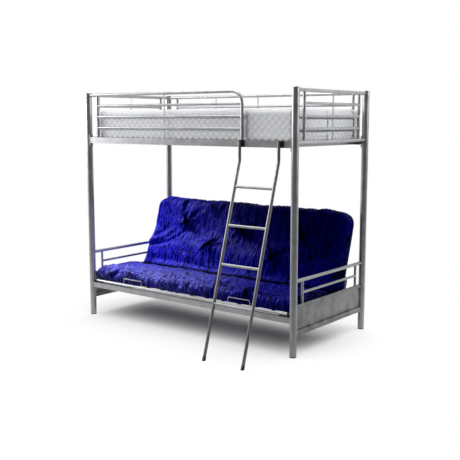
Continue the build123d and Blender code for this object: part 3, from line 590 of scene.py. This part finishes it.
def fineRelief(along, around, plan):
    # Heights of the puckers, which run up the back and slantwise over the seat, and the painted shade in
    # each fold
    seatShare, backShare = seatAndBack(around, plan)
    warp = 16 * noise(along / 150, around / 190, 5) + 5 * noise(along / 55, around / 80, 6)
    upBack = np.abs(noise((along + warp) / 26, around / 200, 7))
    upBack += 0.5 * np.abs(noise((along + warp) / 14, around / 110, 8))
    slant = along * 0.82 + around * 0.57 + 24 * noise(along / 120, around / 120, 9)
    cross = around * 0.82 - along * 0.57
    overSeat = 0.7 * np.abs(noise(slant / 40, cross / 210, 10))
    overSeat += 0.3 * np.abs(noise(slant / 20, cross / 120, 11))
    overSeat += 1.6 * np.abs(noise(slant / 80, cross / 300, 13)) - 0.4
    backPucker, seatPucker, sink = futon["backPuckerMm"], futon["seatPuckerMm"], futon["puckerSinkMm"]
    height = (backPucker * upBack - sink) * backShare + (seatPucker * overSeat - sink) * seatShare

    # Crinkles over the seat's rolled front edge, which fan out along it
    turn = np.interp(along, [-943, -450, 100, 943], [1.8, 0.2, 1.9, 1.3])
    acrossFan = along * np.sin(turn) - around * np.cos(turn)
    alongFan = along * np.cos(turn) + around * np.sin(turn)
    rollShare = smoothStep(around, plan["front"] - 30, plan["front"] + 30)
    rollShare *= 1 - smoothStep(around, plan["front"] + 110, plan["front"] + 220)
    fan = np.abs(noise(acrossFan / 27, alongFan / 110, 12))
    height += (seatPucker * fan - sink) * rollShare
    height *= endCalm(along)

    # Painted shade between the puckers, along the fold line, round the tufts and in the valleys
    paintedCreaseShade = 0.5 * (1 - smoothStep(upBack, 0.02, 0.22)) * backShare
    paintedCreaseShade += 0.3 * (1 - smoothStep(overSeat, 0.02, 0.2)) * seatShare
    paintedCreaseShade += np.exp(-((around - plan["fold"]) / futon["darkFoldMm"]) ** 2)
    for tuftX, tuftS, _ in plan["tufts"]:
        paintedCreaseShade += 1.2 * np.exp(-(np.hypot(along - tuftX, around - tuftS) / futon["darkTuftMm"]) ** 2)
    for *line, width, rise in plan["foldsOfBack"] + plan["foldsOfSeat"]:
        paintedCreaseShade += strokeField(along, around, (*line, width * 0.6, max(0, -rise) / 22))
    return height, np.clip(paintedCreaseShade, 0, 1)


def roundCorners(grid):
    # The back's upper corners: x is drawn in by r - sqrt(r^2 - t^2) over the last r of the height
    radius = np.where(grid[:, :, 0] > 0, futon["rightCornerMm"], futon["leftCornerMm"])
    t = np.clip((grid[:, :, 2] - (futon["topMm"][1] - radius)) / radius, 0, 0.97)
    grid[:, :, 0] *= 1 - radius * (1 - np.sqrt(1 - t ** 2)) / futon["halfMm"]


def holdByLoops(grid):
    # The wire loops hold the front edge back: y has a soft lower limit, which gives way far from them
    nearLoop = np.zeros(grid.shape[:2])
    for loop in ("left_wire_loop", "right_wire_loop"):
        low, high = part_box(loop)
        middle = (low.x + high.x) / 2 / mm
        nearLoop = np.maximum(nearLoop, 1 - smoothStep(np.abs(grid[:, :, 0] - middle), 112, 190))
    limit = futon["frontLimitMm"] - futon["frontGiveMm"] * (1 - nearLoop)
    softness = futon["frontSoftnessMm"]
    grid[:, :, 1] = limit + softness * np.logaddexp(0, (grid[:, :, 1] - limit) / softness)


def buildFuton():
    plan = futonPlan()
    arc = plan["arc"]
    grid = padGrid(plan["profile"], futon["spineMm"], futon["halfMm"], futon["edgeMm"], futon["bulgeMm"],
                   futon["shownStepMm"], futon["capRings"])
    along = grid[:, :, 0]
    around = np.broadcast_to(arc, along.shape)
    height, pinned, shownShare = mainRelief(along, around, plan)
    grid = grid + gridNormals(grid) * height[..., None]
    endShare = smoothStep(futon["halfMm"] - np.abs(along), 5, 60)
    pinned = np.maximum(pinned, 0.8 * (1 - endShare))
    pinned = np.maximum(pinned, 0.7 * np.exp(-((around - plan["fold"]) / 30) ** 2))
    grid = grid + crumpled(grid, pinned) * (shownShare * endShare)[..., None]
    print("stage: futon crumpled")

    # Twice as fine, for the puckers
    grid = doubled(doubled(grid, True), False)
    along = doubled(doubled(along, False), True)
    nextArc = np.append(arc[1:], arc[-1] + futon["hiddenStepMm"])
    around = np.broadcast_to(np.stack([arc, (arc + nextArc) / 2], axis=1).ravel(), along.shape)
    height, paintedCreaseShade = fineRelief(along, around, plan)
    grid = grid + gridNormals(grid) * height[..., None]
    grid[:, :, 0] = np.clip(grid[:, :, 0], -futon["widestMm"], futon["widestMm"])
    roundCorners(grid)
    holdByLoops(grid)
    grid[:, :, 1] += bedMiddleY / mm

    # Painted sheen: strongest on the seat and towards its left end, fading towards the right, which stays
    # darker
    paintedSheen = (0.2 + 0.8 * seatAndBack(around, plan)[0]) * (1 - 0.8 * smoothStep(along, -150, 600))
    cloth = np.stack([along, around, np.zeros(along.shape)], axis=-1) * mm
    return gridPiece("futonMattress", grid, futonCotton, {"cloth": cloth, "paintedCreaseShade": paintedCreaseShade, "paintedSheen": paintedSheen})


futonMattress = buildFuton()
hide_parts("seat_cushion", "back_cushion")
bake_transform(futonMattress)
print("stage: futon", len(futonMattress.data.polygons))


# The upper mattress: a quilted pad with a sewn diamond pattern on its top, fainter on its sides

mattress = {
    "edgeMm": 34,
    "bulgeMm": 3,
    "stepMm": 7,
    "bottomStepMm": 26,
    "capRings": 14,
    "puffMm": 7,
    "quiltPitchMm": 39,
    "sewnWidthMm": 5,
}


def mattressSection(front, rear, bottom, top):
    # A rectangle with rounded corners, as points at most 40 mm apart
    edge = mattress["edgeMm"]
    corners = []
    for centreY, centreZ, turn in (
        (front + edge, bottom + edge, math.pi),
        (rear - edge, bottom + edge, math.pi * 1.5),
        (rear - edge, top - edge, 0),
        (front + edge, top - edge, math.pi / 2),
    ):
        for angle in np.linspace(turn, turn + np.pi / 2, 5):
            corners.append((centreY + edge * math.cos(angle), centreZ + edge * math.sin(angle)))
    points = []
    for start, end in zip(corners, corners[1:] + corners[:1]):
        runs = max(1, int(math.dist(start, end) / 40))
        points += np.linspace(start, end, runs, endpoint=False).tolist()
    return points


def quilt(across, up):
    # How far the cover puffs out between two families of sewn lines, sqrt |sin u sin v|, and how near a
    # place is to one of them
    pitch = mattress["quiltPitchMm"]
    u = np.sin(np.pi * (across + up) / pitch / math.sqrt(2))
    v = np.sin(np.pi * (across - up) / pitch / math.sqrt(2))
    line = np.minimum(np.abs(u), np.abs(v)) * pitch / np.pi
    return np.sqrt(np.abs(u * v)), np.exp(-(line / mattress["sewnWidthMm"]) ** 2)


def buildMattress():
    low, high = (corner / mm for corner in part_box("upper_mattress"))
    puff = mattress["puffMm"]
    bottom, top = low.z, high.z - 1
    front, rear = low.y + puff + 1, high.y - puff - 1
    middleZ = (bottom + top) / 2

    def stepAt(points):
        return np.where(points[:, 1] < bottom + 6, mattress["bottomStepMm"], mattress["stepMm"])

    profile = spaced(closedCurve(mattressSection(front, rear, bottom, top)), stepAt)[0][::-1]
    inset = (top - bottom) / 2
    spine = [(front + inset, middleZ), (rear - inset, middleZ)]
    half = high.x - puff - mattress["bulgeMm"]
    grid = padGrid(profile, spine, half, mattress["edgeMm"], mattress["bulgeMm"], mattress["stepMm"],
                   mattress["capRings"])
    normals = gridNormals(grid)
    x, y, z = (grid[:, :, axis] for axis in range(3))

    # The sewn lines run at 45 degrees over whichever face a point lies on
    weights = np.abs(normals) ** 4
    weights = weights / np.maximum(weights.sum(-1, keepdims=True), 1e-9)
    faces = [quilt(y, z - middleZ), quilt(x, z - middleZ), quilt(x, y)]
    puffed = sum(weights[:, :, axis] * faces[axis][0] for axis in range(3))
    seamAndShade = sum(weights[:, :, axis] * faces[axis][1] for axis in range(3))
    sag = 3 * noise(x / 300, y / 260, 21) + 1.2 * noise(x / 40, (y + z) / 40, 22)
    topShare = smoothStep(normals[:, :, 2], -0.2, 0.4)
    height = (puff * puffed - puff * 0.3 + np.minimum(sag, 2)) * topShare
    grid = grid + normals * np.minimum(height, puff * 0.9)[..., None]
    grid[:, :, 2] = np.maximum(grid[:, :, 2], bottom)
    # Painted shade: the colour of the sewn lines also spreads, fainter, into the hollows between the puffs
    seamAndShade = np.maximum(seamAndShade, 0.5 * (1 - puffed) ** 2) * topShare
    return gridPiece("upperMattressCover", grid, mattressTicking, {"seamAndShade": np.clip(seamAndShade, 0, 1)})


upperMattress = buildMattress()
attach(upperMattress, "bed_frame")
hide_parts("upper_mattress")
print("stage: upper mattress", len(upperMattress.data.polygons))


# Stage: a pale floor, the studio's light and the camera

studio = {
    "floorHalf": 14,
    "bedHalf": 0.62,
    "shadowFade": 1.1,
    "lensMm": 61.15,
    "sensorMm": 36,
    "eye": (3.756, -4.494, 1.564),
    "downDegrees": 7.96,
    "turnDegrees": 38.06,
}


def vectorMath(tree, operation, *values):
    inputs = dict(enumerate(values))
    node = addNode(tree, "ShaderNodeVectorMath", inputs, operation=operation)
    return node.outputs["Value" if operation in ("LENGTH", "DOT_PRODUCT") else "Vector"]


def buildFloor():
    mesh = bpy.data.meshes.new("floor")
    half = studio["floorHalf"]
    corners = [(-half, -half, 0), (half, -half, 0), (half, half, 0), (-half, half, 0)]
    mesh.from_pydata(corners, [], [(0, 1, 2, 3)])
    material, tree = newMaterial("paleFloor")

    # Diffuse near the bed, where its shadow falls, and white to the camera farther off. The distance is
    # taken from a line along the bed's middle: | max(0, |place - middle| - half the line) |
    place = objectPlace(tree)
    offset = vectorMath(tree, "SUBTRACT", place, (0, bedMiddleY, 0))
    offset = vectorMath(tree, "ABSOLUTE", offset)
    offset = vectorMath(tree, "SUBTRACT", offset, (studio["bedHalf"], 0, 0))
    offset = vectorMath(tree, "MAXIMUM", offset, (0, 0, 0))
    away = between(tree, vectorMath(tree, "LENGTH", offset), 0, 1, 0, studio["shadowFade"],
                   interpolation_type="SMOOTHSTEP")

    # Reflections see the floor white behind the bed and dimmer towards the camera's side
    rays = tree.nodes.new("ShaderNodeLightPath")
    side = vectorMath(tree, "DOT_PRODUCT", place, (-0.63, 0.77, 0))
    behind = between(tree, side, 0.1, 1, -1.5, 2)
    mirrored = compute(tree, "MULTIPLY", rays.outputs["Is Glossy Ray"], behind)
    seen = compute(tree, "MAXIMUM", rays.outputs["Is Camera Ray"], mirrored)

    # White to the camera, and greyer to other rays, so that it throws little light up at the bed
    colour = colourBetween(tree, seen, "#686868", "#fbfbfb")
    matt = addNode(tree, "ShaderNodeBsdfDiffuse", {"Color": colour})
    white = addNode(tree, "ShaderNodeEmission", {"Color": linear("#ffffff"), "Strength": 1})
    finishMaterial(tree, addNode(tree, "ShaderNodeMixShader", {
        0: compute(tree, "MULTIPLY", away, seen), 1: matt.outputs[0], 2: white.outputs[0],
    }))
    mesh.materials.append(material)
    floor = bpy.data.objects.new("floor", mesh)
    bpy.context.scene.collection.objects.link(floor)
    return floor


def buildWorld():
    # White where the camera looks past the bed; for the rest a pale room that is brighter on the left
    world = bpy.data.worlds.new("studio")
    world.use_nodes = True
    tree = world.node_tree
    tree.nodes.clear()
    rays = tree.nodes.new("ShaderNodeLightPath")
    direction = tree.nodes.new("ShaderNodeTexCoord").outputs["Generated"]

    # Level = 0.45 - 0.42 (direction . towards the camera) + 0.4 (direction . up), less for diffuse light
    level = compute(tree, "ADD", vectorMath(tree, "DOT_PRODUCT", direction, (-0.27, 0.325, 0.4)), 0.45)
    level = compute(tree, "MULTIPLY", level, between(tree, rays.outputs["Is Diffuse Ray"], 1, 0.11))
    room = addNode(tree, "ShaderNodeBackground", {"Color": linear("#ffffff"), "Strength": level})
    white = addNode(tree, "ShaderNodeBackground", {"Color": linear("#ffffff"), "Strength": 1})
    mix = addNode(tree, "ShaderNodeMixShader", {
        0: rays.outputs["Is Camera Ray"], 1: room.outputs[0], 2: white.outputs[0],
    })
    output = tree.nodes.new("ShaderNodeOutputWorld")
    tree.links.new(mix.outputs[0], output.inputs["Surface"])
    bpy.context.scene.world = world


def placeLamp(name, light, place, target, spared, only):
    # The spared objects aren't lit by this lamp, and where there are only some objects, nothing else is
    lamp = bpy.data.objects.new(name, light)
    lamp.location = place
    lamp.rotation_euler = (Vector(target) - Vector(place)).to_track_quat("-Z", "Y").to_euler()
    lamp.visible_camera = False
    bpy.context.scene.collection.objects.link(lamp)
    if spared or only:
        named = bpy.data.collections.new(name + "Named")
        for piece in (*spared, *only):
            named.objects.link(piece)
        for member in named.collection_objects:
            member.light_linking.link_state = "EXCLUDE" if spared else "INCLUDE"
        lamp.light_linking.receiver_collection = named


def softbox(name, place, target, size, watts, spared=(), only=()):
    light = bpy.data.lights.new(name, "AREA")
    light.shape = "RECTANGLE"
    light.size, light.size_y = size
    light.energy = watts
    placeLamp(name, light, place, target, spared, only)


def spotlight(name, place, target, degrees, radius, watts, spared=(), only=()):
    light = bpy.data.lights.new(name, "SPOT")
    light.spot_size = math.radians(degrees)
    light.spot_blend = 1
    light.shadow_soft_size = radius
    light.energy = watts
    placeLamp(name, light, place, target, spared, only)


def buildCamera():
    # Placed so that posts, ladder and futon fall where the photograph has them
    data = bpy.data.cameras.new("camera")
    data.lens = studio["lensMm"]
    data.sensor_width = studio["sensorMm"]
    camera = bpy.data.objects.new("camera", data)
    camera.location = studio["eye"]
    turns = (90 - studio["downDegrees"], 0, studio["turnDegrees"])
    camera.rotation_euler = [math.radians(turn) for turn in turns]
    bpy.context.scene.collection.objects.link(camera)
    bpy.context.scene.camera = camera


# The futon has lamps of its own, so that its folds show while the bright metal beside it stays grey. The
# floor has one wide lamp, for a soft shadow.
floor = buildFloor()
buildWorld()
softbox("leftKey", (-4.4, -1.9, 2.4), (-0.2, 0, 1.0), (2.4, 2.4), 125, [floor, futonMattress])
softbox("frontFill", (-2.2, -4.2, 2.4), (0, -0.3, 1.5), (2.4, 1.6), 92, only=[upperMattress])
spotlight("leftSpot", (-1.95, 0.06, 1.8), (-0.82, 0.02, 0.5), 56, 0.3, 395, only=[futonMattress])
spotlight("endSpot", (4.2, 1.6, 2.6), (1.0, 0.2, 1.55), 22, 0.5, 530)
softbox("seatLight", (-2.0, -0.8, 3.1), (-0.5, -0.1, 0.5), (2.0, 1.8), 122, only=[futonMattress])
softbox("overhead", (-0.6, -0.7, 4.2), (0, -0.1, 0), (3.2, 2.4), 85, [floor, futonMattress])
softbox("floorLight", (0.3, 0.2, 4.0), (0, 0, 0), (8.5, 8.0), 480, only=[floor])
buildCamera()
bpy.context.scene.view_settings.view_transform = "Standard"
print("stage: light and camera")

bpy.context.view_layer.update()
